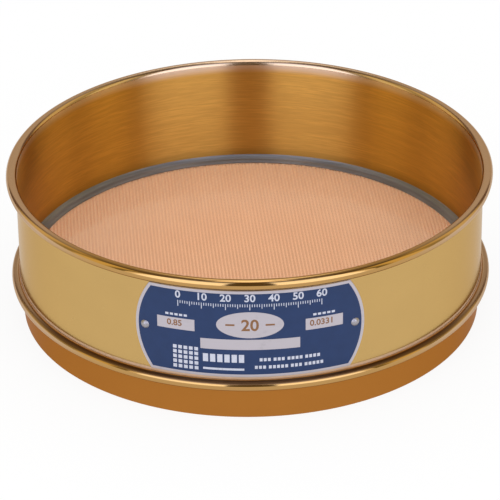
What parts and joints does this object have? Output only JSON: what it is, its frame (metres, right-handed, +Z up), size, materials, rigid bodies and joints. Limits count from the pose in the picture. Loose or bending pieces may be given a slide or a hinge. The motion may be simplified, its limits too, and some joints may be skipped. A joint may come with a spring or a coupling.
{
  "type": "test sieve",
  "caption": "Round brass laboratory test sieve with a rolled rim, woven wire cloth, riveted blue nameplate and nesting skirt.",
  "frame": {"origin": "centre of the sieve at the bottom edge of its skirt", "axes": "+Z up along the sieve's axis, nameplate facing -Y"},
  "size_m": [0.2126, 0.2126, 0.0676],
  "materials": {
    "brass_frame": "polished and lacquered, brushed round the inside",
    "brass_skirt": "satin",
    "bronze_cloth": "drawn wire, plain weave",
    "solder": "dull, hand wiped",
    "plate_metal": "satin anodised",
    "blue_enamel": "smooth enamel",
    "rivet_metal": "satin"
  },
  "bodies": {
    "root": {"frame_shell": "brass_frame", "skirt": "brass_skirt", "wire_cloth": "bronze_cloth", "solder_fillet": "solder", "nameplate": "plate_metal", "nameplate_enamel": "blue_enamel", "rivet_left": "rivet_metal", "rivet_right": "rivet_metal"}
  },
  "joints": []
}
